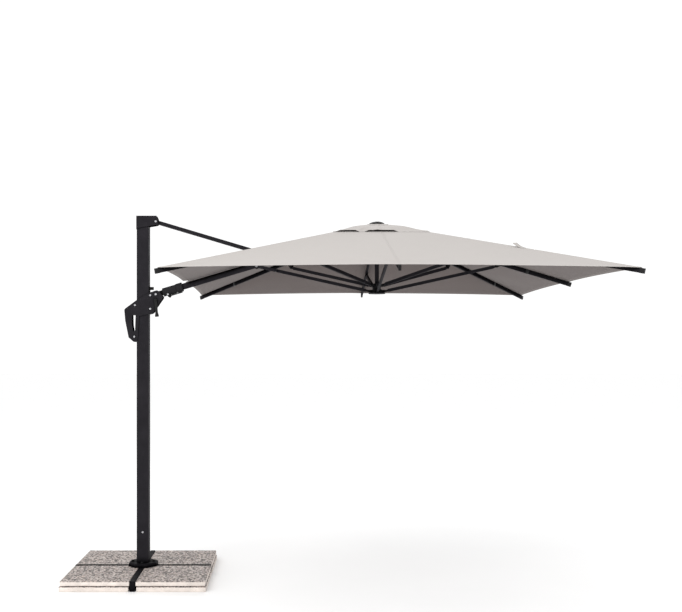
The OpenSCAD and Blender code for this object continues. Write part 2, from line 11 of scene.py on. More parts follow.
import bpy
import numpy as np
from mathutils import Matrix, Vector


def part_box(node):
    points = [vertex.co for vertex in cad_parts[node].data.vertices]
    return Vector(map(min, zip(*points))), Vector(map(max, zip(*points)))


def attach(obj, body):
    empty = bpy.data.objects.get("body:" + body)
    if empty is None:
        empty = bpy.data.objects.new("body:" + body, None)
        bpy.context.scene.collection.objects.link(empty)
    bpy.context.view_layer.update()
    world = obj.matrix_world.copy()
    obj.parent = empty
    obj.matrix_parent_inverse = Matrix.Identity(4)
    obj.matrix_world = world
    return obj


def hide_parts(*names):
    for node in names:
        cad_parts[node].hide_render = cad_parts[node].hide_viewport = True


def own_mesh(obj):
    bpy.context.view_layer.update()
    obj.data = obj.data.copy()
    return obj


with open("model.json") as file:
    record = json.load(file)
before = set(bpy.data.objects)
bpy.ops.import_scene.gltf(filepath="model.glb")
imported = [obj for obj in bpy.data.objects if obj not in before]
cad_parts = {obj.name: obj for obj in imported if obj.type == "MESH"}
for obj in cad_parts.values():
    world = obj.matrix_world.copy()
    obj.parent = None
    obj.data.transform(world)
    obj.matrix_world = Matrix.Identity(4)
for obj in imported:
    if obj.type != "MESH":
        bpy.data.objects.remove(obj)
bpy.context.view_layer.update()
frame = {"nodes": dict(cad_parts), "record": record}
NODES = frame["nodes"]
MM = 0.001

# ---- places from the frame ----

FABRIC_LOW, FABRIC_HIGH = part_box("canopy_fabric")
FLAP_LOW, FLAP_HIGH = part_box("vent_flap")
HUB_X = (FABRIC_HIGH.x + FABRIC_LOW.x) / 2
HUB_AXIS = Vector((HUB_X, 0, 0))

# The rings of the canopy's hem and of the vent flap's
HALF = (FABRIC_HIGH.y - FABRIC_LOW.y) / 2
VENT_HALF = (FLAP_HIGH.y - FLAP_LOW.y) / 2

# The fabric's ridge lines, as in part.scad: underside heights at the hub's pin circle and at the hem
PIN_R = 0.060
SIDE_TOP_Z = 2.690
CORNER_TOP_Z = 2.700
SIDE_EDGE_Z = 2.262
CORNER_EDGE_Z = FABRIC_LOW.z
SIDE_FALL = (SIDE_TOP_Z - SIDE_EDGE_Z) / (HALF - PIN_R)
CORNER_FALL = (CORNER_TOP_Z - CORNER_EDGE_Z) / (HALF * math.sqrt(2) - PIN_R)
SLOPE_STRETCH = 1 / math.cos(math.atan(SIDE_FALL))

RIB_OF_SPOKE = ["right", "back_right", "back", "back_left", None, "front_left", "front", "front_right"]
ARM_SPOKE = 4


def spoke_axes(spoke):
    """Unit vectors out along a spoke and across it."""
    angle = math.radians(45 * spoke)
    return Vector((math.cos(angle), math.sin(angle), 0)), Vector((-math.sin(angle), math.cos(angle), 0))


def spoke_reach(spoke):
    """How far out a spoke meets the ring of half-size 1."""
    return math.sqrt(2) if spoke % 2 else 1.0


# ---- cloth sizes ----

# The cloth's thickness, its height over the ridge lines, and the width and the extra height of seams and hem
CLOTH_T = 1.4 * MM
CLOTH_GAP = 0.4 * MM
SEAM_HALF = 9 * MM
SEAM_RAISE = 0.3 * MM
HEM_WIDTH = 28 * MM
HEM_RAISE = 1.2 * MM

# The panels: how deep they sag, the share of a side that rolls softly over the rib in its middle, how deep
# the hem curves in and the ring that this curve starts at
SAG = 12 * MM
ROLL = 0.08
SCALLOP = 13 * MM
SCALLOP_FROM = 0.85

# The vent: the hole's ring, and the flap's inner ring, apex, edge height over the canopy, sag and hem curve
VENT_HOLE = 0.300
VENT_INNER = 0.046
VENT_APEX_R = 0.012
VENT_APEX_Z = FLAP_HIGH.z - 3 * MM
VENT_LIFT = 0.028
VENT_SAG = 3 * MM
VENT_SCALLOP = 6 * MM

# The flap's edge is tacked down between gaps. Each gap is (start, its rise, end, its fall) along a side, and
# a small pucker stands up in the second one
VENT_EDGE_FROM = 0.16
VENT_TACKED = 3 * MM
VENT_OPEN = 14 * MM
VENT_GAPS = ((-0.345, 0.045, -0.160, 0.035), (-0.125, 0.030, 0.130, 0.040))
PUCKER_AT = -0.030
PUCKER_WIDTH = 0.015
PUCKER_RAISE = 3 * MM

# The hem's notch over the arm: its depth, half its flat part, its soft ends and the ring that it starts at
NOTCH_DEPTH = 30 * MM
NOTCH_FLAT = 32 * MM
NOTCH_EASE = 30 * MM
NOTCH_FROM = 1.30

# The strut's opening. Each slit is (near ring, far ring, width from the arm's line), with ends rounded over
# SLIT_ROUND. The front has a second, wider one, where the strut leans when the canopy tilts
SLIT = (0.530, 0.912, 43 * MM)
TILT_SLIT = (0.750, 1.020, 136 * MM)
SLIT_ROUND = 43 * MM

# Extra rings this far inside a slit's ends, which draw the rounding
SLIT_STEPS = [step * MM for step in (0, 2, 6, 14, 28, 43)]

# The strips over the arm keep their width when the canopy folds: (side, name, width, slits)
STRIP_SIDES = ((-1, "back", 56 * MM, [SLIT]), (1, "front", 152 * MM, [SLIT, TILT_SLIT]))

# Radius of the round patch under the crown cap
CROWN_R = 0.110


# ---- materials ----


class Look:
    """A Principled material, with short calls that add nodes to it."""

    def __init__(self, name, colour, rough, **sockets):
        self.material = bpy.data.materials.new(name)
        self.material.use_nodes = True
        tree = self.material.node_tree
        self.nodes, self.links = tree.nodes, tree.links
        self.shader = self.nodes["Principled BSDF"]
        self.set(self.shader, {"Base Color": (*colour, 1), "Roughness": rough})
        self.set(self.shader, {key.replace("_", " "): value for key, value in sockets.items()})

    def set(self, node, inputs):
        """Links an input to a socket, or gives it a constant."""
        for key, value in inputs.items():
            if isinstance(value, bpy.types.NodeSocket):
                self.links.new(value, node.inputs[key])
            else:
                node.inputs[key].default_value = value

    def add(self, kind, inputs=None, **settings):
        """Adds a shader node and returns its outputs."""
        node = self.nodes.new("ShaderNode" + kind)
        for key, value in settings.items():
            setattr(node, key, value)
        self.set(node, inputs or {})
        return node.outputs

    def place(self, stretch=(1, 1, 1), source="Object"):
        """Places in metres. A stretch under 1 along an axis draws a pattern out along it."""
        return self.add("Mapping", {"Vector": self.add("TexCoord")[source], "Scale": stretch})[0]

    def noise(self, size, detail=3.0, stretch=(1, 1, 1), source="Object"):
        vector = self.place(stretch, source)
        return self.add("TexNoise", {"Vector": vector, "Scale": 1 / size, "Detail": detail})[0]

    def maths(self, operation, a, b=0.0):
        return self.add("Math", {0: a, 1: b}, operation=operation)[0]

    def between(self, value, low, high, to_low=0.0, to_high=1.0):
        """value mapped from low..high to to_low..to_high, and held there beyond them."""
        inputs = {"Value": value, "From Min": low, "From Max": high, "To Min": to_low, "To Max": to_high}
        return self.add("MapRange", inputs)[0]

    def mix(self, share, a, b):
        """Colour a at share 0 and colour b at share 1."""
        inputs = {0: share, 6: a if isinstance(a, bpy.types.NodeSocket) else (*a, 1)}
        inputs[7] = b if isinstance(b, bpy.types.NodeSocket) else (*b, 1)
        return self.add("Mix", inputs, data_type="RGBA")[2]

    def ramp(self, value, stops):
        """A colour ramp through stops of (position, colour)."""
        ramp = self.nodes.new("ShaderNodeValToRGB")
        self.links.new(value, ramp.inputs[0])
        elements = ramp.color_ramp.elements
        while len(elements) < len(stops):
            elements.new(0.5)
        for element, (position, colour) in zip(elements, stops):
            element.position, element.color = position, (*colour, 1)
        return ramp.outputs[0]

    def bump(self, height, depth, normal=None):
        inputs = {"Height": height, "Distance": depth}
        if normal is not None:
            inputs["Normal"] = normal
        return self.add("Bump", inputs)[0]

    def finish(self, colour, rough=None, normal=None):
        """Links what is given to the shader and returns the material."""
        for key, value in (("Base Color", colour), ("Roughness", rough), ("Normal", normal)):
            if value is not None:
                self.links.new(value, self.shader.inputs[key])
        return self.material


def tint(colour, factor):
    """The colour made lighter or darker by a factor."""
    return tuple(min(1.0, c * factor) for c in colour)


def coated_metal(name, colour, rough, peel_depth, edge):
    """Coated metal: orange peel, fine grain, a dusty film and rubbed patches, with a painted highlight along
    the edges and painted shade in the corners between parts.
    """
    look = Look(name, colour, rough, IOR=1.07)
    film = look.between(look.noise(0.09, 5), 0.35, 0.7)
    rubbed = look.between(look.noise(0.013, 4, (1, 1, 0.35)), 0.55, 0.75)
    shade = look.mix(film, tint(colour, 0.88), tint(colour, 1.16))
    shade = look.mix(look.maths("MULTIPLY", rubbed, 0.35), shade, tint(colour, 1.5))

    # Painted highlight: the bevel's normal turns away from the face's own only near an edge, and there the
    # colour is lightened for the light that the edge catches
    round_edge = look.add("Bevel", {"Radius": edge}, samples=6)[0]
    face_normal = look.add("NewGeometry")["True Normal"]
    flat = look.add("VectorMath", {0: round_edge, 1: face_normal}, operation="DOT_PRODUCT")[1]
    shade = look.mix(look.between(flat, 0.99, 0.80, 0, 0.8), shade, tint(colour, 3.2))

    # Painted shade: corners between parts are darkened by the occlusion, and shine less
    occlusion = look.add("AmbientOcclusion", {"Distance": 0.05}, samples=8)["AO"]
    open_sky = look.between(occlusion, 0.45, 0.97)
    shade = look.mix(open_sky, tint(colour, 0.15), shade)
    look.set(look.shader, {"Specular IOR Level": look.between(open_sky, 0, 1, 0.1, 0.6)})

    peel = look.bump(look.noise(0.0035, 2), peel_depth, round_edge)
    grain = look.bump(look.noise(0.0009, 1), peel_depth * 0.25, peel)
    return look.finish(shade, look.between(film, 0, 1, rough - 0.06, rough + 0.08), grain)


def moulded(name, colour, rough, grain_size, edge):
    """Moulded plastic or rubber with a spark-eroded grain."""
    look = Look(name, colour, rough, Specular_IOR_Level=0.2)
    worn = look.between(look.noise(0.03, 4), 0.4, 0.7)
    round_edge = look.add("Bevel", {"Radius": edge}, samples=4)[0]
    cell = look.add("TexVoronoi", {"Vector": look.place(), "Scale": 1 / grain_size})[0]
    grain = look.bump(cell, 0.06 * MM, round_edge)
    shade = look.mix(worn, tint(colour, 0.9), tint(colour, 1.25))
    return look.finish(shade, look.between(worn, 0, 1, rough + 0.05, rough - 0.08), grain)


def zinc_steel():
    """Zinc-plated steel: spangled, with the fine lines of turning."""
    colour = (0.43, 0.43, 0.445)
    look = Look("bolt_steel", colour, 0.36, Metallic=1.0)
    spangle = look.add("TexVoronoi", {"Vector": look.place(), "Scale": 1 / 0.004})["Color"]
    tone = look.between(look.add("SeparateColor", {0: spangle})[0], 0, 1, 0.28, 0.46)
    turned = look.noise(0.0012, 2, (1, 0.1, 1))
    round_edge = look.add("Bevel", {"Radius": 0.8 * MM}, samples=4)[0]
    cloudy = look.between(look.noise(0.01, 3), 0.4, 0.7)
    shade = look.mix(cloudy, tint(colour, 0.8), tint(colour, 1.12))
    return look.finish(shade, tone, look.bump(turned, 0.03 * MM, round_edge))


def cloth(name, colour, hem_colour):
    """Plain-woven outdoor cloth. UV is in metres along the weft and the warp.

    The float attributes rib_dist and hem_dist give the distance to the nearest seam and to the hem's edge.
    """
    thread_pitch = 0.9 * MM
    stitch_pitch = 3.6 * MM
    look = Look(name, colour, 0.88, Sheen_Weight=0.12, Sheen_Roughness=0.5, Specular_IOR_Level=0.25)
    to_seam = look.add("Attribute", attribute_name="rib_dist")["Fac"]
    to_hem = look.add("Attribute", attribute_name="hem_dist")["Fac"]
    across, along, _ = look.add("SeparateXYZ", {0: look.add("TexCoord")["UV"]})

    def wave(value, pitch):
        return look.maths("SINE", look.maths("MULTIPLY", value, 2 * math.pi / pitch))

    def off_line(distance, offset):
        """How far a place is from the line that runs at an offset from a seam or a hem's edge."""
        return look.maths("ABSOLUTE", look.maths("SUBTRACT", distance, offset))

    def stitches(distance, runs_along, offset):
        """Mask of one row of stitches at an offset from a seam or a hem's edge."""
        row = look.between(off_line(distance, offset), 0.5 * MM, 0.9 * MM, 1, 0)
        return look.maths("MULTIPLY", row, look.between(wave(runs_along, stitch_pitch), -0.5, -0.2))

    # Slow clouds, thicker threads both ways and the doubled cloth of the hem
    cloudy = look.noise(0.35, 4, (1, 1, 1), "UV")
    shade = look.mix(look.between(cloudy, 0.3, 0.7), tint(colour, 0.975), tint(colour, 1.02))
    weft_slub = look.noise(0.003, 2, (1, 0.02, 1), "UV")
    warp_slub = look.noise(0.003, 2, (0.02, 1, 1), "UV")
    slub = look.maths("ADD", weft_slub, warp_slub)
    shade = look.mix(look.between(slub, 0.75, 1.25), tint(colour, 0.97), shade)
    band = look.between(to_hem, HEM_WIDTH - 2 * MM, HEM_WIDTH + 1 * MM, 1, 0)
    shade = look.mix(look.maths("MULTIPLY", band, 0.8), shade, hem_colour)

    # Shade beside the seam allowances and the hem, and the rows of thread
    groove = look.between(off_line(to_seam, SEAM_HALF), 0, 2.2 * MM, 1, 0)
    fold = look.between(off_line(to_hem, HEM_WIDTH), 0, 2.2 * MM, 1, 0)
    beside = look.maths("MAXIMUM", groove, fold)
    shade = look.mix(look.maths("MULTIPLY", beside, 0.03), shade, tint(colour, 0.45))
    rows = look.maths("MAXIMUM", stitches(to_seam, along, 3 * MM), stitches(to_seam, along, 7 * MM))
    rows = look.maths("MAXIMUM", rows, stitches(to_hem, across, HEM_WIDTH - 4 * MM))
    shade = look.mix(look.maths("MULTIPLY", rows, 0.12), shade, tint(colour, 0.6))

    weave = look.maths("MULTIPLY", wave(across, thread_pitch), wave(along, thread_pitch))
    normal = look.bump(look.noise(0.22, 5, (1, 0.35, 1), "UV"), 3.0 * MM)
    normal = look.bump(rows, -0.5 * MM, normal)
    normal = look.bump(weave, 0.05 * MM, normal)
    return look.finish(shade, look.between(cloudy, 0.3, 0.7, 0.84, 0.92), normal)


def webbing(name, colour):
    """Flat woven tape with diagonal ribs."""
    look = Look(name, colour, 0.8, Sheen_Weight=0.1)
    inputs = {"Vector": look.place(), "Scale": 1 / 0.006, "Distortion": 0.4}
    rib = look.add("TexWave", inputs, bands_direction="DIAGONAL")[1]
    shade = look.mix(look.between(look.noise(0.006, 3), 0.35, 0.7), tint(colour, 0.8), tint(colour, 1.15))
    return look.finish(shade, None, look.bump(rib, 0.3 * MM))


def washed_pebble():
    """Exposed aggregate: rounded pebbles of several stones standing out of dark cement, which is partly its
    own colour and partly painted shade between the stones.
    """
    look = Look("washed_pebble", (0.40, 0.35, 0.32), 0.7)
    wobble = look.maths("MULTIPLY", look.noise(0.02, 2), 0.005)
    warped = look.add("VectorMath", {0: look.place((1, 0.8, 1.2)), 1: wobble}, operation="ADD")[0]
    pebbles = look.add("TexVoronoi", {"Vector": warped, "Scale": 1 / 0.0155, "Randomness": 0.95})
    grit = look.add("TexVoronoi", {"Vector": warped, "Scale": 1 / 0.008, "Randomness": 1.0})

    # Each pebble's random value picks its kind of stone
    kind = look.add("SeparateColor", {0: pebbles["Color"]})[0]
    stones = look.ramp(kind, [
        (0.0, (0.54, 0.465, 0.42)),
        (0.16, (0.08, 0.065, 0.06)),
        (0.30, (0.54, 0.475, 0.44)),
        (0.46, (0.26, 0.205, 0.185)),
        (0.60, (0.60, 0.525, 0.485)),
        (0.74, (0.04, 0.034, 0.032)),
        (0.86, (0.44, 0.35, 0.305)),
    ])
    speck = look.mix(look.between(look.noise(0.002, 3), 0.4, 0.6), stones, (0.52, 0.46, 0.43))
    stones = look.mix(0.2, stones, speck)

    # The gaps between the pebbles are dark: partly the cement's own colour, partly painted shade in the
    # hollows between the stones
    gap = look.between(pebbles["Distance"], 0.50, 0.68)
    sand = look.between(grit["Distance"], 0.2, 0.6)
    mortar_and_shade = look.mix(sand, (0.24, 0.21, 0.195), (0.05, 0.045, 0.045))
    shade = look.mix(gap, stones, mortar_and_shade)
    weather = look.between(look.noise(0.12, 4), 0.35, 0.7)
    shade = look.mix(look.maths("MULTIPLY", weather, 0.15), shade, (0.50, 0.44, 0.40))
    height = look.maths("SUBTRACT", 1.0, look.between(pebbles["Distance"], 0.1, 0.7))
    return look.finish(shade, look.between(gap, 0, 1, 0.5, 0.85), look.bump(height, 2.6 * MM))


def cast_side():
    """The slabs' smooth cast sides: pale concrete with small air holes."""
    colour = (0.63, 0.57, 0.525)
    look = Look("cast_concrete", colour, 0.85)
    cloudy = look.between(look.noise(0.05, 5), 0.3, 0.7)
    holes = look.add("TexVoronoi", {"Vector": look.place(), "Scale": 1 / 0.011})["Distance"]
    pit = look.between(holes, 0.10, 0.18, 1, 0)
    shade = look.mix(cloudy, tint(colour, 0.88), tint(colour, 1.1))
    # Painted shade: the air holes are darkened inside
    shade = look.mix(look.maths("MULTIPLY", pit, 0.7), shade, tint(colour, 0.4))
    normal = look.bump(pit, -0.8 * MM, look.bump(look.noise(0.004, 4), 0.4 * MM))
    return look.finish(shade, None, normal)


ECRU = (0.442, 0.416, 0.398)
CANOPY_TOP = cloth("canopy_cloth_top", ECRU, tint(ECRU, 1.08))
# Painted shade: the underside is the same cloth as the top, in a much darker colour for the shade under the
# canopy
CANOPY_UNDER_SHADED = cloth("canopy_cloth_under_shaded", (0.096, 0.076, 0.071), (0.145, 0.124, 0.116))
WEBBING = webbing("black_webbing", (0.010, 0.010, 0.011))
PEBBLE = washed_pebble()
SLAB_SIDE = cast_side()
FINISHES = {
    "powder_coat": coated_metal("powder_coat", (0.0168, 0.0157, 0.0184), 0.46, 0.08 * MM, 2.0 * MM),
    "black_casting": coated_metal("black_casting", (0.0165, 0.0160, 0.0175), 0.42, 0.12 * MM, 1.2 * MM),
    "black_plastic": moulded("black_plastic", (0.0050, 0.0048, 0.0053), 0.45, 0.8 * MM, 1.5 * MM),
    "dark_bolt": coated_metal("dark_bolt", (0.018, 0.018, 0.019), 0.38, 0.03 * MM, 1.0 * MM),
    "buffer_rubber": moulded("buffer_rubber", (0.008, 0.008, 0.008), 0.7, 1.4 * MM, 2.0 * MM),
    "bolt_steel": zinc_steel(),
    "canopy_cloth": CANOPY_TOP,
    "washed_pebble": PEBBLE,
}

# The foot's coat is the same powder coat, given a darker colour as painted shade for the foot low down
SHADED_FOOT_COAT = coated_metal("powder_coat_foot_shaded", (0.0075, 0.0070, 0.0082), 0.5, 0.08 * MM, 1.5 * MM)
FOOT_NODES = ("base_cross", "foot_plate")

# How the faces of a rib's node are told apart: bolt heads and castings stand out sideways from the tube, the
# cap is the rib's last stretch, and the hub's fitting its first
BOLT_SIDE = 10.2 * MM
CASTING_SIDE = 7.1 * MM
CAP_LENGTH = 33 * MM
HUB_FITTING_LENGTH = 24 * MM


def dress_cad_nodes():
    """Gives every CAD node its slot's material."""
    for subpart in frame["record"]["subparts"]:
        mesh = NODES[subpart["node"]].data
        mesh.materials.clear()
        on_foot = subpart["node"] in FOOT_NODES
        # The foot's nodes get the darker copy of the coat, which is painted shade
        mesh.materials.append(SHADED_FOOT_COAT if on_foot else FINISHES[subpart["material_slot"]])
        mesh.polygons.foreach_set("material_index", [0] * len(mesh.polygons))


def dress_ribs():
    """Picks out the castings, end caps and bolts, which are solids of their own inside a rib's node."""
    casting, cap, bolt = 1, 2, 3
    for spoke, name in enumerate(RIB_OF_SPOKE):
        if name is None:
            continue
        outward, sideways = spoke_axes(spoke)
        mesh = NODES["rib_" + name].data
        for finish in ("black_casting", "black_plastic", "dark_bolt"):
            mesh.materials.append(FINISHES[finish])
        tip = max((vertex.co - HUB_AXIS).dot(outward) for vertex in mesh.vertices)
        for face in mesh.polygons:
            place = face.center - HUB_AXIS
            side = abs(place.dot(sideways))
            out = place.dot(outward)
            if side > BOLT_SIDE:
                face.material_index = bolt
            elif out > tip - CAP_LENGTH:
                face.material_index = cap
            elif side > CASTING_SIDE or out < PIN_R + HUB_FITTING_LENGTH:
                face.material_index = casting


# ---- mesh building ----


def mesh_piece(name, points, faces, materials, face_materials=None, uvs=None, attributes=None, normals=None):
    """A mesh object from points and faces. uvs and normals are per point."""
    mesh = bpy.data.meshes.new(name)
    mesh.from_pydata([tuple(p) for p in points], [], faces)
    for material in materials:
        mesh.materials.append(material)
    mesh.polygons.foreach_set("use_smooth", [True] * len(mesh.polygons))
    if face_materials is not None:
        mesh.polygons.foreach_set("material_index", face_materials)
    if uvs is not None:
        layer = mesh.uv_layers.new(name="Metres")
        corner = np.zeros(len(mesh.loops), np.int32)
        mesh.loops.foreach_get("vertex_index", corner)
        layer.data.foreach_set("uv", np.asarray(uvs, np.float32)[corner].ravel())
    for key, values in (attributes or {}).items():
        mesh.attributes.new(key, "FLOAT", "POINT").data.foreach_set("value", np.asarray(values, np.float32))
    mesh.validate()
    if normals is not None:
        mesh.normals_split_custom_set_from_vertices([tuple(n) for n in normals])
    piece = bpy.data.objects.new(name, mesh)
    bpy.context.scene.collection.objects.link(piece)
    return piece


def smooth(x):
    """0 below 0 and 1 above 1, with a soft rise between them."""
    x = np.clip(x, 0, 1)
    return x * x * (3 - 2 * x)


# ---- canopy surface ----


def beside_spoke(spoke, s):
    """Where the signed fraction s of the panels beside a spoke is, as (side, sign, f).

    side counts quarter turns, sign is -1 or 1 along the hem, and f runs from 0 at the side's middle to 1 at
    the corner.
    """
    s = np.asarray(s, float)
    if spoke % 2 == 0:
        return np.full_like(s, spoke // 2), np.where(s < 0, -1.0, 1.0), np.abs(s)
    side = np.where(s < 0, (spoke - 1) // 2, (spoke + 1) // 2).astype(float)
    return side, np.where(s < 0, 1.0, -1.0), 1 - np.abs(s)


def eased(f):
    """f with a soft start, so that the cloth rolls over the rib in the middle of a side without a crease."""
    return (np.sqrt(f * f + ROLL * ROLL) - ROLL) / (math.sqrt(1 + ROLL * ROLL) - ROLL)


def to_world(side, r, t, z):
    """Points r out from the hub's axis and t along the hem, on a side's own quarter turn."""
    turn = side * (math.pi / 2)
    x = HUB_X + r * np.cos(turn) - t * np.sin(turn)
    y = r * np.sin(turn) + t * np.cos(turn)
    return np.stack([x, y, z], -1)


def ripples(x, y, h):
    """Small folds: tension lines that run in from each tip, and slow waves in the panels."""
    line_height, wave_height = 2.2 * MM, 1.6 * MM
    lines_round_tip = 11
    total = np.zeros_like(x)
    for spoke in range(8):
        angle = math.radians(45 * spoke)
        tip = HALF * spoke_reach(spoke)
        dx = x - HUB_X - tip * math.cos(angle)
        dy = y - tip * math.sin(angle)
        away = np.hypot(dx, dy) + 1e-9
        bearing = np.arctan2(dy, dx) - angle
        fade = np.exp(-away / 0.42) * (1 - np.exp(-away / 0.06))
        total += line_height * fade * np.cos(lines_round_tip * bearing + spoke)
    slow = np.sin(5.1 * x + 1.3) * np.sin(4.3 * y + 0.4) + 0.5 * np.sin(9.7 * x - 3.1 * y)
    inside = smooth((h - VENT_HOLE) / 0.3) * smooth((HALF + 0.02 - h) / 0.25)
    return total + wave_height * slow * inside


def canopy_surface(spoke, s, h, raised=0.0):
    """Points of the canopy at signed fraction s beside a spoke, on the ring h."""
    side, sign, f = beside_spoke(spoke, s)
    h = np.asarray(h, float)
    bow = 4 * f * (1 - f)
    pulled = SCALLOP * bow * smooth((h - SCALLOP_FROM) / (HALF - SCALLOP_FROM))
    over_arm = (side == ARM_SPOKE // 2) * (1 - smooth((f * h - NOTCH_FLAT) / NOTCH_EASE))
    pulled = pulled + NOTCH_DEPTH * over_arm * smooth((h - NOTCH_FROM) / (HALF - NOTCH_FROM))
    r = h - pulled
    z_mid = SIDE_TOP_Z - (r - PIN_R) * SIDE_FALL
    z_corner = CORNER_TOP_Z - (r * math.sqrt(2) - PIN_R) * CORNER_FALL
    share = eased(f)
    z = z_mid + (z_corner - z_mid) * share
    run = np.clip((h - VENT_HOLE) / (HALF - VENT_HOLE), 0, 1)
    z = z - SAG * 4 * share * (1 - share) * np.sin(np.pi * run ** 1.2)
    points = to_world(side, r, sign * f * r, z)
    points[..., 2] += ripples(points[..., 0], points[..., 1], h) * smooth(bow * 4) + raised
    return points


def vent_surface(spoke, s, h, raised=0.0):
    """Points of the vent flap: it is tacked down between gaps that let the wind out."""
    side, sign, f = beside_spoke(spoke, s)
    h = np.asarray(h, float)

    def fall(r, edge_r, top_z, slope):
        """Height on a straight line from the apex to the flap's edge."""
        edge_z = top_z - (edge_r - PIN_R) * slope + VENT_LIFT
        return VENT_APEX_Z - (r - VENT_APEX_R) * (VENT_APEX_Z - edge_z) / (edge_r - VENT_APEX_R)

    z_mid = fall(h, VENT_HALF, SIDE_TOP_Z, SIDE_FALL)
    z_corner = fall(h * math.sqrt(2), VENT_HALF * math.sqrt(2), CORNER_TOP_Z, CORNER_FALL)
    share = eased(f)
    z = z_mid + (z_corner - z_mid) * share

    at_edge = smooth((h - VENT_EDGE_FROM) / (VENT_HALF - VENT_EDGE_FROM))
    t = sign * f * h * VENT_HALF / np.maximum(h, 0.05)
    opened = np.zeros_like(t)
    for start, rise, end, drop in VENT_GAPS:
        opened += smooth((t - start) / rise) * smooth((end - t) / drop)
    pucker = np.exp(-((t - PUCKER_AT) / PUCKER_WIDTH) ** 2)
    lift = VENT_TACKED + VENT_OPEN * opened + PUCKER_RAISE * pucker
    z = z - at_edge * (VENT_LIFT - lift)
    z = z - VENT_SAG * np.sin(np.pi * np.clip(h / VENT_HALF, 0, 1)) * 4 * share * (1 - share)
    r = h - VENT_SCALLOP * 4 * f * (1 - f) * at_edge
    return to_world(side, r, sign * f * r, z + raised)


def normals_of(surface, spoke, s, h, raised):
    """Unit normals of a surface by small steps, so that pieces that meet share them."""
    step_s, step_h = 0.002, 0.0015
    a = surface(spoke, s + step_s, h, raised) - surface(spoke, s - step_s, h, raised)
    b = surface(spoke, s, h + step_h, raised) - surface(spoke, s, h - step_h, raised)
    n = np.cross(a, b)
    n *= np.sign(n[..., 2:3] + 1e-12)
    return n / np.linalg.norm(n, axis=-1, keepdims=True)


class Sheet:
    """One thin closed piece of cloth on a grid of fractions s (columns) and rings h (rows)."""

    def __init__(self, surface, spoke, s, h, hem_at, seam_distance):
        self.surface, self.spoke = surface, spoke
        self.s, self.h = np.broadcast_arrays(s, np.asarray(h)[:, None])
        self.hem = np.broadcast_to(np.abs(hem_at - np.asarray(h))[:, None], self.s.shape)
        self.seam = np.broadcast_to(seam_distance, self.s.shape)

    def thickness(self):
        """The cloth is thicker on a seam and in the hem, and thins out at the hem's very edge."""
        on_seam = self.seam < SEAM_HALF + 0.1 * MM
        in_hem = self.hem < HEM_WIDTH - 1 * MM
        thick = CLOTH_T + SEAM_RAISE * on_seam + HEM_RAISE * in_hem
        return np.where(self.hem < 0.5 * MM, 0.5 * thick, thick)

    def closed_skin(self):
        """(faces, materials) of the upper face, the underside and the rim between them."""
        rows, columns = self.s.shape
        count = rows * columns
        faces, kinds = [], []

        def at(i, j):
            return i * columns + j

        for i in range(rows - 1):
            for j in range(columns - 1):
                a, b, c, d = at(i, j), at(i, j + 1), at(i + 1, j + 1), at(i + 1, j)
                faces += [(a, d, c, b), (a + count, b + count, c + count, d + count)]
                kinds += [0, 1]
        rim = [at(0, j) for j in range(columns)]
        rim += [at(i, columns - 1) for i in range(1, rows)]
        rim += [at(rows - 1, j) for j in range(columns - 2, -1, -1)]
        rim += [at(i, 0) for i in range(rows - 2, 0, -1)]
        for a, b in zip(rim, rim[1:] + rim[:1]):
            faces.append((a, b, b + count, a + count))
            kinds.append(0)
        return faces, kinds

    def build(self, name, materials):
        """(piece, area). The first material is on the upper face and the rim, the second on the underside."""
        thick = self.thickness()
        top = self.surface(self.spoke, self.s, self.h, CLOTH_GAP + thick)
        under = self.surface(self.spoke, self.s, self.h, np.full_like(thick, CLOTH_GAP))
        points = np.concatenate([top.reshape(-1, 3), under.reshape(-1, 3)])
        up = normals_of(self.surface, self.spoke, self.s, self.h, CLOTH_GAP).reshape(-1, 3)
        _, sign, f = beside_spoke(self.spoke, self.s)
        uv = np.stack([sign * f * self.h, self.h * SLOPE_STRETCH], -1).reshape(-1, 2)
        distances = {"rib_dist": np.tile(self.seam.ravel(), 2), "hem_dist": np.tile(self.hem.ravel(), 2)}
        faces, kinds = self.closed_skin()
        normals = np.concatenate([up, -up])
        piece = mesh_piece(name, points, faces, materials, kinds, np.tile(uv, (2, 1)), distances, normals)
        return piece, self.area(top)

    @staticmethod
    def area(grid):
        """Area of a grid of points, as two triangles to a cell."""
        a, b, c, d = grid[:-1, :-1], grid[:-1, 1:], grid[1:, 1:], grid[1:, :-1]
        halves = np.cross(b - a, c - a), np.cross(c - a, d - a)
        return float(sum(np.linalg.norm(half, axis=-1).sum() / 2 for half in halves))


def spread(low, high, count):
    return list(np.linspace(low, high, count))


def columns_beside(spoke, rings, count=13):
    """Signed fractions across a wing, one row per ring: narrow columns at the seam, even ones beyond it.

    The second value is each place's distance from the seam.
    """
    rings = np.asarray(rings)[:, None]
    reach = spoke_reach(spoke)
    near = reach * np.array([0.0, 4 * MM, SEAM_HALF, SEAM_HALF + 1.5 * MM]) / rings
    far = near[:, -1:] + (0.5 - near[:, -1:]) * np.linspace(0, 1, count)[1:]
    one_side = np.concatenate([near, far], 1)
    s = np.concatenate([-one_side[:, :0:-1], one_side], 1)
    return s, np.abs(s) * rings / reach


def declare_cloth(piece, body, node):
    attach(piece, body)
    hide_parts(node)


def fold_with(piece):
    """Gives the piece a mesh of its own."""
    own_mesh(piece)


